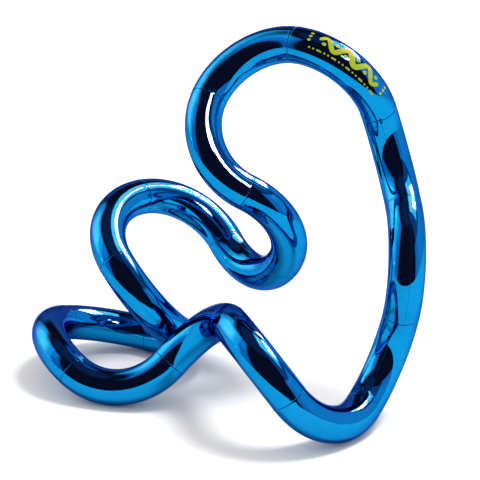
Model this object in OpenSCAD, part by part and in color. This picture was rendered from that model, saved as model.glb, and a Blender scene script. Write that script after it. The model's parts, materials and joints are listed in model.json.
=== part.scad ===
// Twisting chain toy: a ring of equal quarter-circle tubes, each able to turn on the next.
// Every link is a hollow tube in two half shells, with a socket collar at one end
// and a split snap plug at the other.
// The chain is modelled open at one pivot, between the last link and the first, with a small gap there.

/* [Link] */
// Radius of the curve that each link's centre line follows
bend_radius = 20; // [16:0.5:30]
// Outside diameter of the tube
tube_d = 10.3; // [9.9:0.1:11.4]
// Thickness of the moulded wall
wall = 1.2; // [0.8:0.1:1.4]
// Gap that shows between two neighbouring links
seam_gap = 0.12; // [0.08:0.02:0.3]
// Gap between the two half shells of one link
parting_gap = 0.02; // [0.02:0.01:0.06]

/* [Swivel] */
// Diameter of the plug's neck
pin_d = 6; // [5.6:0.1:6.2]
// Radial running clearance between the plug's neck and the socket collar
pin_clearance = 0.08; // [0.05:0.01:0.1]
// Length of the socket collar along the pivot
collar_len = 1.4; // [1.2:0.1:1.6]
// How far the snap ridge stands out past the neck
ridge_height = 0.35; // [0.2:0.05:0.4]
// Width of the slot that lets the plug's two prongs spring inwards
prong_slot = 1; // [0.6:0.1:1.4]

/* [Print] */
// Thickness of the printed film
film_thickness = 0.05; // [0.04:0.01:0.1]
// Where the film starts along its link, as an angle of the bend
film_start = 16; // [10:1:24]
// How far the film runs along its link, as an angle of the bend
film_sweep = 64; // [40:1:66]
// Where the film starts around the tube, from the outside of the bend
film_low = -34; // [-40:1:-10]
// Where the film ends around the tube
film_high = 44; // [20:1:50]

/* [Resting pose] */
// Lean of the first link about the x axis
first_turn_x = -31.004; // [-32.004:0.001:-30.004]
// Lean of the first link about the y axis
first_turn_y = 3.822; // [2.822:0.001:4.822]
// Turn of the first link about the upright axis
first_turn_z = -27.61; // [-117.61:0.01:62.39]
// Twist of link 2 on link 1; 0 carries the circle on and 180 makes an S
twist_02 = -14.6; // [-17.6:0.1:-11.6]
// Twist of link 3 on link 2; 0 carries the circle on and 180 makes an S
twist_03 = -26.4; // [-29.4:0.1:-23.4]
// Twist of link 4 on link 3; 0 carries the circle on and 180 makes an S
twist_04 = 73.6; // [70.6:0.1:76.6]
// Twist of link 5 on link 4; 0 carries the circle on and 180 makes an S
twist_05 = 124.1; // [121.1:0.1:127.1]
// Twist of link 6 on link 5; 0 carries the circle on and 180 makes an S
twist_06 = 78.2; // [75.2:0.1:81.2]
// Twist of link 7 on link 6; 0 carries the circle on and 180 makes an S
twist_07 = 46.2; // [43.2:0.1:49.2]
// Twist of link 8 on link 7; 0 carries the circle on and 180 makes an S
twist_08 = 47.1; // [44.1:0.1:50.1]
// Twist of link 9 on link 8; 0 carries the circle on and 180 makes an S
twist_09 = -149.8; // [-152.8:0.1:-146.8]
// Twist of link 10 on link 9; 0 carries the circle on and 180 makes an S
twist_10 = 157.3; // [154.3:0.1:160.3]
// Twist of link 11 on link 10; 0 carries the circle on and 180 makes an S
twist_11 = -124.4; // [-127.4:0.1:-121.4]
// Twist of link 12 on link 11; 0 carries the circle on and 180 makes an S
twist_12 = 72.7; // [69.7:0.1:75.7]
// Twist of link 13 on link 12; 0 carries the circle on and 180 makes an S
twist_13 = -42.2; // [-45.2:0.1:-39.2]
// Twist of link 14 on link 13; 0 carries the circle on and 180 makes an S
twist_14 = -111.2; // [-114.2:0.1:-108.2]
// Twist of link 15 on link 14; 0 carries the circle on and 180 makes an S
twist_15 = 44.5; // [41.5:0.1:47.5]
// Twist of link 16 on link 15; 0 carries the circle on and 180 makes an S
twist_16 = -85.4; // [-88.4:0.1:-82.4]
// Twist of link 17 on link 16; 0 carries the circle on and 180 makes an S
twist_17 = 4.9; // [1.9:0.1:7.9]
// Twist of link 18 on link 17; 0 carries the circle on and 180 makes an S
twist_18 = -38; // [-41:0.1:-35]

/* [Colours] */
// Mirror-blue metallised shells
shell_colour = "DodgerBlue"; // ["DodgerBlue", "Silver", "Gold", "HotPink"]
// Ink of the printed film
ink_colour = "YellowGreen"; // ["YellowGreen", "White", "Black"]

/* [Hidden] */
$fn = 64;
links = 18;
printed_link = 11;
tube_r = tube_d / 2;
inner_r = tube_r - wall;
pin_r = pin_d / 2;
bore_r = pin_r + pin_clearance;
// the collar and the plug's flange are rooted in the middle of the wall
root_r = tube_r - wall / 2;
// both start a little behind the link's end face, so that only the tube's rims come close
recess = 0.2;
flange_len = 1.4;
plug_hole_r = 1.6;
ridge_play = 0.1;
neck_end = recess + collar_len + ridge_play;
ridge_r = pin_r + ridge_height;
ridge_top = neck_end + 0.4;
tip_r = pin_r - 0.3;
plug_len = ridge_top + 0.35;
prong_root = 0.1;
trim = asin(seam_gap / 2 / bend_radius);
film_lift = 0.005;
slot_overrun = 1;

twists = [
    twist_02, twist_03, twist_04, twist_05, twist_06, twist_07, twist_08, twist_09, twist_10,
    twist_11, twist_12, twist_13, twist_14, twist_15, twist_16, twist_17, twist_18
];

// A link's own frame: the bend's centre, x towards the link's start,
// y along the tube at its start, z square to both.
function start_x() = [
    cos(first_turn_z) * cos(first_turn_y),
    sin(first_turn_z) * cos(first_turn_y),
    -sin(first_turn_y)
];
function start_y() = [
    cos(first_turn_z) * sin(first_turn_y) * sin(first_turn_x) - sin(first_turn_z) * cos(first_turn_x),
    sin(first_turn_z) * sin(first_turn_y) * sin(first_turn_x) + cos(first_turn_z) * cos(first_turn_x),
    cos(first_turn_y) * sin(first_turn_x)
];
first_frame = [[0, 0, 0], start_x(), start_y(), cross(start_x(), start_y())];

// The next link's frame, once it has been twisted about the pivot that joins the two.
function turned_x(f, twist) = cos(twist) * f[2] - sin(twist) * f[3];
function next_frame(f, twist) =
    let (x = turned_x(f, twist))
    [f[0] + bend_radius * (f[2] - x), x, -f[1], cross(x, -f[1])];
frames = [
    for (i = 0, f = first_frame; i < links; f = i < links - 1 ? next_frame(f, twists[i]) : f, i = i + 1) f
];

// The loop's box comes from points along the tube, so that it can be set on the floor and centred.
function spoke(f, a) = cos(a) * f[1] + sin(a) * f[2];
function along(f, a) = cos(a) * f[2] - sin(a) * f[1];
function reach(f, a, k) = tube_r * sqrt(max(0, 1 - pow(along(f, a)[k], 2)));
function centre_at(f, a, k) = f[0][k] + bend_radius * spoke(f, a)[k];
function low(k) = min([for (f = frames) for (a = [0:0.5:90]) centre_at(f, a, k) - reach(f, a, k)]);
function high(k) = max([for (f = frames) for (a = [0:0.5:90]) centre_at(f, a, k) + reach(f, a, k)]);
to_origin = [-(low(0) + high(0)) / 2, -(low(1) + high(1)) / 2, -low(2)];

function two_digits(i) = str(i < 10 ? "0" : "", i);
function shell_name(i, side) = str("link_", two_digits(i), side > 0 ? "_shell_a" : "_shell_b");

// Puts a shape made in a link's own frame where that link stands.
module place(i) {
    f = frames[i - 1];
    o = f[0] + to_origin;
    multmatrix([
        [f[1][0], f[2][0], f[3][0], o[0]],
        [f[1][1], f[2][1], f[3][1], o[1]],
        [f[1][2], f[2][2], f[3][2], o[2]],
        [0, 0, 0, 1]
    ])
    children();
}

// The bent tube, cut a hair short of a quarter turn at both ends.
module bent_tube() {
    rotate([0, 0, trim])
    rotate_extrude(angle = 90 - 2 * trim)
    translate([bend_radius, 0])
    difference() {
        circle(r = tube_r);
        circle(r = inner_r);
    }
}

// The collar inside the start of a link, which the neighbour's plug turns in.
module socket_collar() {
    translate([bend_radius, 0, 0])
    rotate([-90, 0, 0])
    rotate_extrude()
    translate([bore_r, recess])
    square([root_r - bore_r, collar_len]);
}

// The plug on the end of a link: flange, neck and snap ridge.
module snap_plug() {
    translate([0, bend_radius, 0])
    rotate([0, -90, 0])
    rotate_extrude()
    polygon([
        [plug_hole_r, -recess - flange_len],
        [root_r, -recess - flange_len],
        [root_r, -recess],
        [pin_r, -recess],
        [pin_r, neck_end],
        [ridge_r, neck_end],
        [ridge_r, ridge_top],
        [tip_r, plug_len],
        [plug_hole_r, plug_len]
    ]);
}

// One half of a link: side 1 is the half above its bend plane and side -1 the half below.
module half_shell(i, side) {
    keep = bend_radius + 2 * tube_r;
    color(shell_colour)
    place(i)
    difference() {
        union() {
            bent_tube();
            socket_collar();
            snap_plug();
        }
        translate([-keep / 2, -keep / 2, side > 0 ? -keep + parting_gap / 2 : -parting_gap / 2])
        cube([2 * keep, 2 * keep, keep]);
        translate([-plug_len - slot_overrun, bend_radius - tube_r, -prong_slot / 2])
        cube([plug_len + slot_overrun - prong_root, tube_d, prong_slot]);
    }
}

// The ink on the printed link, drawn as one thin film that follows the tube.
module printed_film() {
    film_in = tube_r + film_lift;
    film_out = film_in + film_thickness;
    far = 2 * tube_r;
    wedge_tip = 1.6 * far;
    color(ink_colour)
    place(printed_link)
    rotate([0, 0, film_start])
    rotate_extrude(angle = film_sweep)
    translate([bend_radius, 0])
    intersection() {
        difference() {
            circle(r = film_out);
            circle(r = film_in);
        }
        polygon([
            [0, 0],
            [far * cos(film_low), far * sin(film_low)],
            [wedge_tip, 0],
            [far * cos(film_high), far * sin(film_high)]
        ]);
    }
}

for (i = [1:links])
    for (side = [1, -1])
        half_shell(i, side);
printed_film();
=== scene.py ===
import json
import math

import bpy
import numpy as np
from mathutils import Matrix, Vector, noise

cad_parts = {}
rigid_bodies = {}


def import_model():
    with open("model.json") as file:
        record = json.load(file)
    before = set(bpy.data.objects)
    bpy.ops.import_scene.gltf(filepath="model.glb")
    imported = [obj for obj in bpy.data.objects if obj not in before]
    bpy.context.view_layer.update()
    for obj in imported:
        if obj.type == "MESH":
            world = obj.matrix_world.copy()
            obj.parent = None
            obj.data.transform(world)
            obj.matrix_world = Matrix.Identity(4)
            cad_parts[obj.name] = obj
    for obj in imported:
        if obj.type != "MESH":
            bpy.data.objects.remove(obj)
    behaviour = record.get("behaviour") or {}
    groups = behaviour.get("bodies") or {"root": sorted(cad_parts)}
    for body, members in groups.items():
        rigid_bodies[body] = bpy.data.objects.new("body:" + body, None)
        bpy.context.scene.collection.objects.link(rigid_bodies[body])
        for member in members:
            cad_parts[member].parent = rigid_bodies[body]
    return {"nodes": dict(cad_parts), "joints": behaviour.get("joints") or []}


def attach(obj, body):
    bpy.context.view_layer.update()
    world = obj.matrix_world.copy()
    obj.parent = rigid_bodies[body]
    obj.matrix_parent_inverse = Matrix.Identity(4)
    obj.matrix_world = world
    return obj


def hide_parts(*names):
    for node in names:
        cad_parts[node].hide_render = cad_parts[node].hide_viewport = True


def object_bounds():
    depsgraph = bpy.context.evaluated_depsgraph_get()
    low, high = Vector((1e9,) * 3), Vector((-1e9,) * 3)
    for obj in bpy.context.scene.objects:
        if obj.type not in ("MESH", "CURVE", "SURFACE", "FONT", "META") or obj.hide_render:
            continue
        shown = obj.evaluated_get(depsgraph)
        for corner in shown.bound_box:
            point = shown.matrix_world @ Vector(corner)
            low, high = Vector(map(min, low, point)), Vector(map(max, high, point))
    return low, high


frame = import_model()
cad_low, cad_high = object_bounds()

MM = 0.001
LINKS = 18
PRINTED_LINK = 11

# The tube's and the swivel's sizes, in millimetres, as the CAD has them.
TUBE_R = 5.15
INNER_R = TUBE_R - 1.2
PIN_R = 3.0
BORE_R = PIN_R + 0.08
RIDGE_R = PIN_R + 0.35
TIP_R = PIN_R - 0.3
HOLE_R = 1.6
HALF_PRONG_SLOT = 0.5
PRONG_ROOT = 0.1
RECESS = 0.2
COLLAR_END = RECESS + 1.4
FLANGE_END = RECESS + 1.4
NECK_END = COLLAR_END + 0.1
RIDGE_TOP = NECK_END + 0.4
PLUG_END = RIDGE_TOP + 0.35

# Half the gap between two links and between two halves, in millimetres: finer than the CAD's, for the look.
HALF_SEAM = 0.035
HALF_PARTING = 0.005

# The rounding of edges, in millimetres.
RIM = 0.12
EDGE_ROLL = 0.035
SOFT = 0.06
BORE_CHAMFER = 0.15

# How finely a half shell is divided.
SKIN_STEPS = 84
INSIDE_STEPS = 20
STEPS_AROUND = 40
RIM_ANGLES = [math.pi / 8 * k for k in range(5)]
# shares of the way round, close together where the skin rolls over to the parting face
EDGE_SHARES = [0.0, 0.002, 0.0045, 0.008, 0.014]


# ---------------------------------------------------------------- where each link stands

def weighted_centre(names):
    """The centre of a group of CAD nodes' surfaces."""
    total, area_sum = np.zeros(3), 0.0
    for name in names:
        mesh = frame["nodes"][name].data
        mesh.calc_loop_triangles()
        co = np.empty(len(mesh.vertices) * 3)
        mesh.vertices.foreach_get("co", co)
        co = co.reshape(-1, 3)
        tri = np.empty(len(mesh.loop_triangles) * 3, int)
        mesh.loop_triangles.foreach_get("vertices", tri)
        a, b, c = (co[tri.reshape(-1, 3)[:, k]] for k in range(3))
        area = np.linalg.norm(np.cross(b - a, c - a), axis=1) / 2
        total += ((a + b + c) / 3 * area[:, None]).sum(0)
        area_sum += area.sum()
    return Vector(total / area_sum)


def link_frames():
    """Each link's frame, and the bend radius. A frame is the bend's centre, x from there towards the link's
    start, and y along the tube at its start."""
    joints = {}
    for j in frame["joints"]:
        number = int(j["name"].split("_")[1])
        joints[number] = (Vector(j["pos_m"]), Vector(j["axis"]).normalized())
    found = {}
    for i in range(2, LINKS):
        start, tangent = joints[i - 1]
        end, end_tangent = joints[i]
        radius = (end - start).length / math.sqrt(2)
        found[i] = (start + end_tangent * radius, -end_tangent, tangent)
    radius = sum((found[i][0] - joints[i][0]).length for i in found) / len(found)
    # the first and the last link have one joint each, so their surfaces tell which way they bend
    centre = weighted_centre(["link_01_shell_a", "link_01_shell_b"])
    end, end_tangent = joints[1]
    x = -end_tangent
    across = centre - end
    y = -(across - across.dot(x) * x).normalized()
    found[1] = (end - radius * y, x, y)
    centre = weighted_centre(["link_18_shell_a", "link_18_shell_b"])
    start, y = joints[LINKS - 1]
    across = centre - start
    x = -(across - across.dot(y) * y).normalized()
    found[LINKS] = (start - radius * x, x, y)
    return found, radius


FRAMES, BEND_R = link_frames()
BEND = BEND_R / MM
ARC = BEND * math.pi / 2


def link_matrix(i):
    """From a link's own frame to where it stands."""
    centre, x, y = FRAMES[i]
    z = x.cross(y)
    m = Matrix((x, y, z)).transposed().to_4x4()
    m.translation = centre
    return m


# ---------------------------------------------------------------- the half shells

def rim(end, inward):
    """A rounded rim of the skin, from the end face inwards, as rows of (along, radius, kind)."""
    return [(end + inward * RIM * (1 - math.cos(a)), TUBE_R - RIM * (1 - math.sin(a)), "skin")
            for a in RIM_ANGLES]


def half_profile():
    """The lathe line of one link, as rows of (along, radius, kind), closed on itself.
    along runs from 0 at the link's start to ARC at its end, in millimetres. kind is "skin" on the outside,
    "plug" on the plug, "collar" in the socket's collar, which is straight, and "in" elsewhere."""
    first, last = HALF_SEAM, ARC - HALF_SEAM
    # outer skin from start to end, with its rounded rims
    rows = rim(first, 1)
    for k in range(1, SKIN_STEPS):
        rows.append((first + RIM + (last - first - 2 * RIM) * k / SKIN_STEPS, TUBE_R, "skin"))
    rows += reversed(rim(last, -1))
    # end face, then the plug from its flange out to the tip and back through its hole
    rows += [(last, INNER_R + SOFT, "in"), (last - SOFT, INNER_R, "in"), (ARC - RECESS, INNER_R, "in"),
             (ARC - RECESS, PIN_R + SOFT, "plug"), (ARC - RECESS + SOFT, PIN_R, "plug"),
             (ARC, PIN_R, "plug"), (ARC + NECK_END, PIN_R, "plug"),
             (ARC + NECK_END, RIDGE_R - SOFT, "plug"), (ARC + NECK_END + SOFT, RIDGE_R, "plug"),
             (ARC + RIDGE_TOP, RIDGE_R, "plug"), (ARC + RIDGE_TOP + SOFT, RIDGE_R - SOFT, "plug"),
             (ARC + PLUG_END - SOFT, TIP_R + SOFT, "plug"), (ARC + PLUG_END, TIP_R - SOFT, "plug"),
             (ARC + PLUG_END, HOLE_R + SOFT, "plug"), (ARC + PLUG_END - SOFT, HOLE_R, "plug"),
             (ARC, HOLE_R, "plug"), (ARC - RECESS, HOLE_R, "in"), (ARC - FLANGE_END, HOLE_R, "in"),
             (ARC - FLANGE_END, INNER_R, "in")]
    # the inside of the tube, back to the socket collar
    for k in range(1, INSIDE_STEPS):
        rows.append((ARC - FLANGE_END + (COLLAR_END + FLANGE_END - ARC) * k / INSIDE_STEPS, INNER_R, "in"))
    rows += [(COLLAR_END, INNER_R, "collar"), (COLLAR_END, BORE_R + SOFT, "collar"),
             (COLLAR_END - SOFT, BORE_R, "collar"), (RECESS + BORE_CHAMFER, BORE_R, "collar"),
             (RECESS, BORE_R + BORE_CHAMFER, "collar"), (RECESS, INNER_R, "in"),
             (first + SOFT, INNER_R, "in"), (first, INNER_R + SOFT, "in")]
    return rows


def on_link(along, radius, poloidal):
    """A point of the link in its own frame, in millimetres. Past either end the tube goes on straight."""
    angle = min(max(along / BEND, 0.0), math.pi / 2)
    past = along - angle * BEND
    reach = BEND + radius * math.cos(poloidal)
    x = reach * math.cos(angle) - past * math.sin(angle)
    y = reach * math.sin(angle) + past * math.cos(angle)
    return x, y, radius * math.sin(poloidal)


def parting_drop(off_plane):
    """How far the outer skin drops where it rolls over to the parting face, in millimetres."""
    t = min(1.0, max(0.0, (off_plane - HALF_PARTING) / EDGE_ROLL))
    return EDGE_ROLL * (1 - math.sqrt(1 - (1 - t) ** 2))


# The skin's moulding sinks and waviness, in millimetres, apart from WAVES_AROUND and SEED_STEP.
SINK_DEPTH = 0.012
SINK_PLACE = 2.0
SINK_REACH = 1.6
WAVE_DEPTH = 0.055
WAVE_LENGTH = 7.0
WAVES_AROUND = 0.9
SKIN_FADE = 0.8
SEED_STEP = 3.7


def sink(along, poloidal, seed):
    """How far the skin lies below the true tube: waviness all over, and sinks beside the collar and the
    flange. Both fade out at the link's ends."""
    near = sum(math.exp(-((d - SINK_PLACE) / SINK_REACH) ** 2) for d in (along, ARC - along))
    edge = min(1.0, max(0.0, min(along, ARC - along) / SKIN_FADE))
    p = Vector((along / WAVE_LENGTH + seed * SEED_STEP,
                math.cos(poloidal) * WAVES_AROUND, math.sin(poloidal) * WAVES_AROUND))
    wave = noise.noise(p) * 0.5 + 0.5
    return edge * (SINK_DEPTH * near + WAVE_DEPTH * wave)


def half_mesh(name, side, seed):
    """One half shell as a closed mesh, in metres, in the link's own frame."""
    rows = half_profile()
    edge = EDGE_SHARES[-1]
    middle = [edge + (1 - 2 * edge) * k / STEPS_AROUND for k in range(1, STEPS_AROUND)]
    shares = EDGE_SHARES + middle + [1 - e for e in reversed(EDGE_SHARES)]
    verts, faces = [], []
    for along, radius, kind in rows:
        off = HALF_PRONG_SLOT if kind == "plug" and along > ARC - PRONG_ROOT else HALF_PARTING
        least = math.asin(off / radius)
        for share in shares:
            p = least + (math.pi - 2 * least) * share
            r = radius
            if kind == "skin":
                r -= parting_drop(radius * math.sin(p))
                r -= sink(along, side * p, seed)
            x, y, z = on_link(0 if kind == "collar" else along, r, p)
            if kind == "collar":
                y += along
            verts.append((x * MM, y * MM, side * z * MM))
    n, m = len(rows), len(shares)
    for i in range(n):
        j = (i + 1) % n
        for k in range(m - 1):
            quad = (i * m + k, j * m + k, j * m + k + 1, i * m + k + 1)
            faces.append(quad if side > 0 else quad[::-1])
    # the two parting faces
    outer = tuple(i * m for i in range(n))
    inner = tuple(i * m + m - 1 for i in range(n))
    faces.append(outer[::-1] if side > 0 else outer)
    faces.append(inner if side > 0 else inner[::-1])
    mesh = bpy.data.meshes.new(name)
    mesh.from_pydata(verts, [], faces)
    mesh.validate()
    return mesh


# ---------------------------------------------------------------- materials

def new_material(name):
    mat = bpy.data.materials.new(name)
    mat.use_nodes = True
    nodes, links = mat.node_tree.nodes, mat.node_tree.links
    return mat, nodes, links, nodes["Principled BSDF"]


def noise_texture(nodes, links, where, scale, detail):
    node = nodes.new("ShaderNodeTexNoise")
    node.inputs["Scale"].default_value = scale
    node.inputs["Detail"].default_value = detail
    links.new(where.outputs["Object"], node.inputs["Vector"])
    return node.outputs["Fac"]


def two_colours(nodes, links, factor, first, second):
    """The first colour where the factor is under 0.3, the second where it is over 0.7, and a mix between."""
    node = nodes.new("ShaderNodeValToRGB")
    for element, position, colour in zip(node.color_ramp.elements, (0.3, 0.7), (first, second)):
        element.position = position
        element.color = (*colour, 1)
    links.new(factor, node.inputs["Fac"])
    return node.outputs["Color"]


def map_range(nodes, links, factor, to_low, to_high, from_low=0.0, from_high=1.0):
    node = nodes.new("ShaderNodeMapRange")
    node.inputs["From Min"].default_value = from_low
    node.inputs["From Max"].default_value = from_high
    node.inputs["To Min"].default_value = to_low
    node.inputs["To Max"].default_value = to_high
    links.new(factor, node.inputs["Value"])
    return node.outputs["Result"]


def chrome_material():
    """Vacuum-metallised plastic under a blue clear coat."""
    mat, nodes, links, shader = new_material("mirror_blue")
    shader.inputs["Metallic"].default_value = 1.0
    shader.inputs["Specular Tint"].default_value = (0.02, 0.22, 0.5, 1)
    shader.inputs["Coat Weight"].default_value = 0.02
    shader.inputs["Coat Roughness"].default_value = 0.012
    shader.inputs["Coat IOR"].default_value = 1.5
    where = nodes.new("ShaderNodeTexCoord")
    # slow changes of the lacquer's depth
    cloud = noise_texture(nodes, links, where, scale=90, detail=3)
    colour = two_colours(nodes, links, cloud, (0.0004, 0.212, 0.505), (0.0006, 0.232, 0.54))
    links.new(colour, shader.inputs["Base Color"])
    # roughness: nearly a mirror, with faint handling haze
    haze = noise_texture(nodes, links, where, scale=420, detail=5)
    rough = map_range(nodes, links, haze, to_low=0.012, to_high=0.045, from_low=0.35, from_high=0.75)
    links.new(rough, shader.inputs["Roughness"])
    # the plating's orange peel
    peel = noise_texture(nodes, links, where, scale=260, detail=2)
    bump = nodes.new("ShaderNodeBump")
    bump.inputs["Strength"].default_value = 0.25
    bump.inputs["Distance"].default_value = 0.00004
    links.new(peel, bump.inputs["Height"])
    links.new(bump.outputs["Normal"], shader.inputs["Normal"])
    return mat


def ink_material():
    """Lime ink with a fine grain."""
    mat, nodes, links, shader = new_material("lime_ink")
    shader.inputs["Specular IOR Level"].default_value = 0.1
    where = nodes.new("ShaderNodeTexCoord")
    grain = noise_texture(nodes, links, where, scale=2500, detail=4)
    colour = two_colours(nodes, links, grain, (0.20, 0.27, 0.012), (0.31, 0.39, 0.03))
    links.new(colour, shader.inputs["Base Color"])
    links.new(map_range(nodes, links, grain, to_low=0.25, to_high=0.45), shader.inputs["Roughness"])
    return mat


def floor_material():
    """Matt and pale, so that the chrome isn't mirrored in the floor."""
    mat, _, _, shader = new_material("pale_floor")
    shader.inputs["Base Color"].default_value = (0.85, 0.85, 0.86, 1)
    shader.inputs["Roughness"].default_value = 0.8
    shader.inputs["Specular IOR Level"].default_value = 0.0
    return mat


# ---------------------------------------------------------------- build the links

CHROME = chrome_material()
INK = ink_material()


def add_piece(mesh, link, material, replaced, sharp_angle):
    """A piece on a link, from a mesh in the link's own frame. It stands for one CAD node."""
    mesh.shade_smooth()
    mesh.set_sharp_from_angle(angle=math.radians(sharp_angle))
    obj = bpy.data.objects.new(mesh.name, mesh)
    bpy.context.scene.collection.objects.link(obj)
    mesh.transform(link_matrix(link))
    mesh.update()
    mesh.materials.append(material)
    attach(obj, "link_%02d" % link)
    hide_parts(replaced)


for i in range(1, LINKS + 1):
    for side, letter in ((1, "a"), (-1, "b")):
        half = half_mesh("link_%02d_half_%s" % (i, letter), side, i)
        add_piece(half, i, CHROME, "link_%02d_shell_%s" % (i, letter), sharp_angle=40)


# ---------------------------------------------------------------- the print, an abstract pattern

# How far the ink stands over the skin and how deep it is rooted in it, in millimetres.
INK_RISE = 0.03
INK_ROOT = 0.03
# A stroke's section: how far across its half width, and whether on top of the ink.
INK_SECTION = [(-1, False), (-0.96, True), (-0.5, True), (0, True), (0.5, True), (0.96, True), (1, False)]
STATIONS_PER_MM = 5
STATIONS_PER_CAP = 6
# The least half width at a stroke's tips, in millimetres.
THINNEST = 0.01
TINY = 1e-9


def on_skin(u, v, rise):
    """A point over the printed link's skin, in millimetres: u along it from its start, and v round it from
    the bend's outside."""
    p = v / TUBE_R
    return on_link(u, TUBE_R - sink(u, p, PRINTED_LINK) + rise, p)


def point_at(points, lengths, d):
    """The point at distance d along a line. lengths gives each of its points' distance."""
    k = max(i for i in range(len(lengths) - 1) if lengths[i] <= d + TINY)
    t = (d - lengths[k]) / (lengths[k + 1] - lengths[k])
    (u, v), (next_u, next_v) = points[k], points[k + 1]
    return u + (next_u - u) * t, v + (next_v - v) * t


class Ink:
    """Closed strokes of ink gathered in one mesh. All sizes are in millimetres."""

    def __init__(self):
        self.verts, self.faces = [], []

    def stroke(self, centre_line, widths):
        """One stroke along points (u, v), with its half width at each."""
        count = len(centre_line)
        first = len(self.verts)
        for k, (u, v) in enumerate(centre_line):
            before, after = centre_line[max(k - 1, 0)], centre_line[min(k + 1, count - 1)]
            du, dv = after[0] - before[0], after[1] - before[1]
            length = math.hypot(du, dv)
            nu, nv = -dv / length, du / length
            for across, on_top in INK_SECTION:
                w = widths[k] * across
                x, y, z = on_skin(u + nu * w, v + nv * w, INK_RISE if on_top else -INK_ROOT)
                self.verts.append((x * MM, y * MM, z * MM))
        m = len(INK_SECTION)
        for k in range(count - 1):
            for a in range(m):
                b = (a + 1) % m
                i, j = first + k * m, first + (k + 1) * m
                self.faces.append((i + a, j + a, j + b, i + b))
        self.faces.append(tuple(range(first, first + m)))
        self.faces.append(tuple(reversed(range(first + (count - 1) * m, first + count * m))))

    def line(self, points, half_width, taper=0.0):
        """A stroke with round ends. taper is the share of its width that it has lost there."""
        lengths = [0.0]
        for p, q in zip(points, points[1:]):
            lengths.append(lengths[-1] + math.hypot(q[0] - p[0], q[1] - p[1]))
        total = lengths[-1]
        straight = total - 2 * half_width
        turns = [math.pi / 2 * k / STATIONS_PER_CAP for k in range(STATIONS_PER_CAP + 1)]
        cap_part = [half_width * (1 - math.cos(a)) for a in turns]
        middle = max(2, int(straight * STATIONS_PER_MM))
        body = [half_width + straight * k / middle for k in range(1, middle)]
        centre_line, widths = [], []
        for d in cap_part + body + [total - c for c in reversed(cap_part)]:
            centre_line.append(point_at(points, lengths, d))
            near = min(d, total - d)
            cap = 1.0 if near >= half_width else math.sqrt(max(0.0, 1 - (1 - near / half_width) ** 2))
            swell = 1 - taper * abs(2 * d / total - 1)
            widths.append(max(THINNEST, half_width * cap * swell))
        self.stroke(centre_line, widths)

    def dot(self, u, v, radius):
        self.line([(u - radius, v), (u + radius, v)], radius * 0.999)


def make_print():
    """The printed pattern: u runs along the link and v round it, both in millimetres."""
    ink = Ink()
    # a bold wave with dots in its bends
    start, end, waves, height, mid = 8.2, 24.4, 3, 1.5, 0.35
    wave_steps, wave_width, wave_taper = 120, 0.78, 0.35
    dot_inset, dot_radius = 0.75, 0.5
    points = []
    for k in range(wave_steps + 1):
        t = k / wave_steps
        points.append((start + (end - start) * t, mid + height * math.sin(2 * math.pi * waves * t)))
    ink.line(points, wave_width, wave_taper)
    for k in range(2 * waves):
        u = start + (end - start) * (k + 0.5) / (2 * waves)
        ink.dot(u, mid - (dot_inset if k % 2 == 0 else -dot_inset), dot_radius)
    # a fine row beside it: one long mark and two short ones, over and over
    u, row, gap = 7.4, 3.45, 0.5
    marks, long_mark, short_mark, mark_width = 15, 1.3, 0.52, 0.25
    for k in range(marks):
        length = long_mark if k % 3 == 0 else short_mark
        ink.line([(u, row), (u + length, row)], mark_width)
        u += length + gap
    # three dots in a column at either end
    columns, heights, column_radius = (6.3, 26.6), (-0.9, 0.3, 1.5), 0.38
    for u in columns:
        for v in heights:
            ink.dot(u, v, column_radius)
    mesh = bpy.data.meshes.new("printed_pattern")
    mesh.from_pydata(ink.verts, [], ink.faces)
    mesh.validate()
    return mesh


add_piece(make_print(), PRINTED_LINK, INK, "printed_film", sharp_angle=50)


# ---------------------------------------------------------------- stage

centre = (cad_low + cad_high) / 2

# The floor stops in front of the object. Past its edge the chrome sees the dark studio. In metres.
FLOOR_REACH, FLOOR_FRONT = 3.0, -0.27
FLOOR_GAP = 0.00005

floor_mesh = bpy.data.meshes.new("floor")
floor_mesh.from_pydata([(-FLOOR_REACH, FLOOR_FRONT, 0), (FLOOR_REACH, FLOOR_FRONT, 0),
                        (FLOOR_REACH, FLOOR_REACH, 0), (-FLOOR_REACH, FLOOR_REACH, 0)], [], [(0, 1, 2, 3)])
floor = bpy.data.objects.new("floor", floor_mesh)
floor.location.z = cad_low.z - FLOOR_GAP
floor_mesh.materials.append(floor_material())
bpy.context.scene.collection.objects.link(floor)


def area_light(name, position, width, height, power, colour=(1, 1, 1), glossy=True, diffuse=True):
    """A soft light aimed at the object's centre. Its position is measured from there, in metres."""
    data = bpy.data.lights.new(name, "AREA")
    data.shape = "RECTANGLE"
    data.size, data.size_y = width, height
    data.energy = power
    data.color = colour
    obj = bpy.data.objects.new(name, data)
    obj.location = centre + Vector(position)
    obj.rotation_euler = (-Vector(position)).to_track_quat("-Z", "Y").to_euler()
    obj.visible_camera = False
    obj.visible_glossy = glossy
    obj.visible_diffuse = diffuse
    bpy.context.scene.collection.objects.link(obj)
    return obj


area_light("key", position=(0.36, -0.02, 0.95), width=0.3, height=0.3, power=8.5, glossy=False)

# a strip softbox that only some of the links see, as it is linked to them alone
strip = area_light("strip", position=(1.31, -1.56, 2.19), width=1.25, height=0.42, power=1500.0,
                   colour=(1.0, 0.012, 0.012), diffuse=False)
LINKS_UNDER_STRIP = (2, 11, 13, 16)
sees_strip = bpy.data.collections.new("sees_strip")
for number in LINKS_UNDER_STRIP:
    for letter in "ab":
        sees_strip.objects.link(bpy.data.objects["link_%02d_half_%s" % (number, letter)])
strip.light_linking.receiver_collection = sees_strip


# ---------------------------------------------------------------- what the chrome sees round it

# What is to look white in the chrome is very strong in red, because the blue plating returns almost no red.
DARK_STUDIO = (0.5, 0.016, 0.030)

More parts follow.
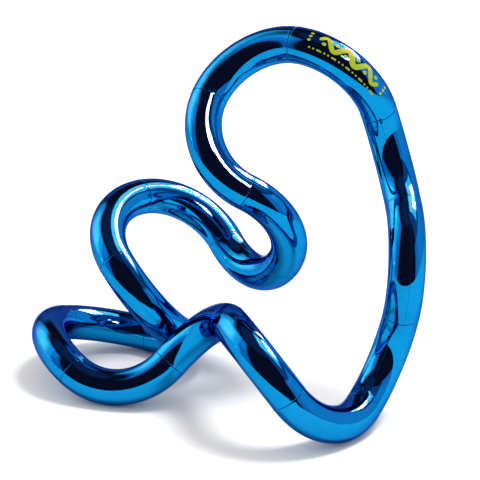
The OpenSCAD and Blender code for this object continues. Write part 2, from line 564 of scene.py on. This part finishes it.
# Azimuth 0 is the camera's side and 90 its right; both angles are in degrees.
# Each row: from azimuth, to azimuth, from elevation, to elevation, edge softness, colour, strength.
PANELS = [
    # the softbox at the left, its bright middle, and its spill beside it
    (-149, -83, -12, 53, 11, (1.0, 1.12, 1.12), 1.1),
    (-135, -96, 6, 44, 18, (10.0, 1.45, 0.85), 1.1),
    (-86, -61, -12, 53, 8, (0.30, 0.40, 0.68), 1.1),
    (-84, -66, 26, 52, 9, (0.2, 0.28, 0.2), 1.1),
    # the wall at the right, from front to back, and the dim part over it
    (50, 70, -12, 33, 5, (0.40, 0.46, 0.72), 1.15),
    (70, 150, -12, 33, 5, (0.52, 0.66, 0.86), 1.15),
    (58, 100, 30, 70, 6, (0.06, 0.15, 0.28), 1.15),
    # the wall behind, and the ceiling
    (146, 205, -14, 34, 12, (0.22, 0.36, 0.55), 1.0),
    (-180, 180, 66, 95, 10, (0.015, 0.04, 0.085), 1.1),
]

# The long softbox up at the right runs level from beside the object to far behind it. Its edges are straight
# in space, so they are ratios of the direction: y over x along it, and z over x up it. Each is from, to, edge
# softness.
LONG_BOX_ALONG = (0.06, 1.75, 0.08)
LONG_BOX_UP = (0.88, 1.50, 0.10)
LONG_BOX_COLOUR, LONG_BOX_STRENGTH = (1.8, 2.0, 1.8), 1.0
# its lamp, which fades in between two places along it
LAMP_START = (0.38, 0.55)
LAMP_COLOUR, LAMP_STRENGTH = (72.0, 1.0, 1.0), 8.0
# the glow over it
GLOW_UP = (1.55, 3.4, 0.5)
GLOW_COLOUR, GLOW_STRENGTH = (8.0, 1.0, 0.7), 2.4
# keeps the ratios within bounds where x is nothing or less
LEAST_X = 0.02

# what lights the floor and the ink, and what the camera sees past the floor
FILL_COLOUR = (1.04, 1.0, 0.96, 1)
BACKDROP_COLOUR = (1, 1, 1, 1)


def world_light():
    """A dark studio with panels round it for what the chrome reflects, white for the camera, and an even
    fill for all else."""
    world = bpy.data.worlds.new("studio")
    bpy.context.scene.world = world
    world.use_nodes = True
    nodes, links = world.node_tree.nodes, world.node_tree.links
    nodes.clear()

    def maths(operation, *values):
        node = nodes.new("ShaderNodeMath")
        node.operation = operation
        for k, value in enumerate(values):
            if isinstance(value, (int, float)):
                node.inputs[k].default_value = value
            else:
                links.new(value, node.inputs[k])
        return node.outputs[0]

    def step(socket, low, high):
        """0 below low and 1 above high, or the other way round where low is the larger."""
        node = nodes.new("ShaderNodeMapRange")
        node.interpolation_type = "SMOOTHSTEP"
        node.inputs["From Min"].default_value = min(low, high)
        node.inputs["From Max"].default_value = max(low, high)
        node.inputs["To Min"].default_value = 0.0 if low < high else 1.0
        node.inputs["To Max"].default_value = 1.0 if low < high else 0.0
        links.new(socket, node.inputs["Value"])
        return node.outputs["Result"]

    def window(socket, low, high, soft):
        """1 between low and high and 0 outside, with soft edges."""
        rise = step(socket, low - soft / 2, low + soft / 2)
        fall = step(socket, high + soft / 2, high - soft / 2)
        return maths("MULTIPLY", rise, fall)

    def add_panel(total, mask, colour, strength):
        node = nodes.new("ShaderNodeVectorMath")
        node.operation = "MULTIPLY_ADD"
        node.inputs[0].default_value = [c * strength for c in colour]
        links.new(mask, node.inputs[1])
        links.new(total, node.inputs[2])
        return node.outputs[0]

    def background(colour):
        node = nodes.new("ShaderNodeBackground")
        node.inputs["Color"].default_value = colour
        return node

    path = nodes.new("ShaderNodeLightPath")

    def choose(ray, otherwise, chosen):
        """One shader for rays of this kind and another for the rest."""
        node = nodes.new("ShaderNodeMixShader")
        links.new(path.outputs[ray], node.inputs[0])
        links.new(otherwise.outputs[0], node.inputs[1])
        links.new(chosen.outputs[0], node.inputs[2])
        return node

    where = nodes.new("ShaderNodeTexCoord")
    split = nodes.new("ShaderNodeSeparateXYZ")
    links.new(where.outputs["Generated"], split.inputs["Vector"])
    x, y, z = (split.outputs[k] for k in "XYZ")
    azimuth = maths("DEGREES", maths("ARCTAN2", x, maths("MULTIPLY", y, -1.0)))
    # the same angle from 0 to 360, for a panel that goes on past straight behind
    full_turn = maths("ADD", azimuth, maths("MULTIPLY", maths("LESS_THAN", azimuth, 0.0), 360.0))
    elevation = maths("DEGREES", maths("ARCSINE", z))

    base = nodes.new("ShaderNodeCombineXYZ")
    for k, value in enumerate(DARK_STUDIO):
        base.inputs[k].default_value = value
    total = base.outputs[0]
    for az_low, az_high, el_low, el_high, soft, colour, strength in PANELS:
        mask = window(elevation, el_low, el_high, soft)
        if az_high - az_low < 360:
            heading = full_turn if az_high > 180 else azimuth
            mask = maths("MULTIPLY", window(heading, az_low, az_high, soft), mask)
        total = add_panel(total, mask, colour, strength)

    sideways = maths("MAXIMUM", x, LEAST_X)
    up = maths("DIVIDE", z, sideways)
    along = maths("DIVIDE", y, sideways)
    lengthwise = window(along, *LONG_BOX_ALONG)
    long_box = maths("MULTIPLY", lengthwise, window(up, *LONG_BOX_UP))
    total = add_panel(total, long_box, LONG_BOX_COLOUR, LONG_BOX_STRENGTH)
    lamp = maths("MULTIPLY", long_box, step(along, *LAMP_START))
    total = add_panel(total, lamp, LAMP_COLOUR, LAMP_STRENGTH)
    glow = maths("MULTIPLY", lengthwise, window(up, *GLOW_UP))
    total = add_panel(total, glow, GLOW_COLOUR, GLOW_STRENGTH)

    reflected = nodes.new("ShaderNodeBackground")
    links.new(total, reflected.inputs["Color"])
    lit = choose("Is Glossy Ray", background(FILL_COLOUR), reflected)
    seen = choose("Is Camera Ray", lit, background(BACKDROP_COLOUR))
    out = nodes.new("ShaderNodeOutputWorld")
    links.new(seen.outputs[0], out.inputs["Surface"])


world_light()
bpy.context.scene.view_settings.view_transform = "Standard"


# ---------------------------------------------------------------- camera

ELEVATION = math.radians(18.69)
CAMERA_ROLL = math.radians(0.2)
DISTANCE = 0.593
LENS = 161.3
SENSOR_WIDTH = 36
# from the object's centre to the point that the camera aims at, in metres
AIM = Vector((0.0049, 0.0, -0.0051))
# how far the camera stands to the right, as a share of its distance
SIDE_STEP = 0.0011

camera_data = bpy.data.cameras.new("camera")
camera_data.lens = LENS
camera_data.sensor_width = SENSOR_WIDTH
camera = bpy.data.objects.new("camera", camera_data)
bpy.context.scene.collection.objects.link(camera)
back_to_camera = Vector((SIDE_STEP, -math.cos(ELEVATION), math.sin(ELEVATION))).normalized()
camera.location = centre + AIM + back_to_camera * DISTANCE
turn = (-back_to_camera).to_track_quat("-Z", "Y").to_matrix() @ Matrix.Rotation(-CAMERA_ROLL, 3, "Z")
camera.rotation_euler = turn.to_euler()
bpy.context.scene.camera = camera
